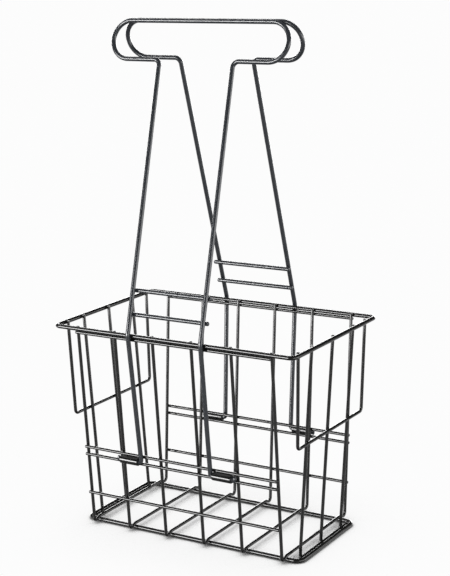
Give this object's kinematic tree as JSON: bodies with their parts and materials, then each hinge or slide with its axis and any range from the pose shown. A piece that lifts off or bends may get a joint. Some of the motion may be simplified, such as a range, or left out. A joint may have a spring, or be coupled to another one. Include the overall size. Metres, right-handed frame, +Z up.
{
  "type": "tennis ball hopper",
  "caption": "Open welded-wire basket that picks up tennis balls through its bottom bars, with long wire handles that lift it or swing down past the sides to stand as legs.",
  "frame": {"origin": "on the floor, under the middle of the basket", "axes": "+Z up; +X along the basket's long side, to the right seen from the front; -Y is the front, where the nearer handle hangs"},
  "size_m": [0.4144, 0.2832, 0.7741],
  "materials": {
    "basket_coat": "satin-gloss black coat over welded steel wire",
    "barrel_coat": "satin-gloss black coat over short steel tube",
    "handle_coat": "satin-gloss black coat over bent steel wire"
  },
  "bodies": {
    "basket": {"rim_ring": "basket_coat", "base_ring": "basket_coat", "left_end_bar": "basket_coat", "right_end_bar": "basket_coat", "cross_wire_1": "basket_coat", "cross_wire_2": "basket_coat", "cross_wire_3": "basket_coat", "cross_wire_4": "basket_coat", "cross_wire_5": "basket_coat", "cross_wire_6": "basket_coat", "left_end_wire_1": "basket_coat", "left_end_wire_2": "basket_coat", "left_end_wire_3": "basket_coat", "right_end_wire_1": "basket_coat", "right_end_wire_2": "basket_coat", "right_end_wire_3": "basket_coat", "front_rim_bar": "basket_coat", "front_pair_wire_upper": "basket_coat", "front_pair_wire_lower": "basket_coat", "front_bottom_wire": "basket_coat", "back_rim_bar": "basket_coat", "back_pair_wire_upper": "basket_coat", "back_pair_wire_lower": "basket_coat", "back_bottom_wire": "basket_coat", "left_guard_loop": "basket_coat", "right_guard_loop": "basket_coat", "front_left_barrel": "barrel_coat", "front_right_barrel": "barrel_coat", "back_left_barrel": "barrel_coat", "back_right_barrel": "barrel_coat"},
    "front_handle": {"front_handle": "handle_coat", "front_lower_rung": "handle_coat", "front_upper_rung": "handle_coat"},
    "back_handle": {"back_handle": "handle_coat", "back_lower_rung": "handle_coat", "back_upper_rung": "handle_coat"}
  },
  "joints": [
    {"name": "front_handle_hinge", "type": "hinge", "parent": "basket", "child": "front_handle", "pos_m": [0, -0.12296, 0.12564], "axis": [1, 0, 0], "range_deg": [0, 180]},
    {"name": "back_handle_hinge", "type": "hinge", "parent": "basket", "child": "back_handle", "pos_m": [0, 0.12296, 0.12564], "axis": [-1, 0, 0], "range_deg": [0, 180]}
  ]
}
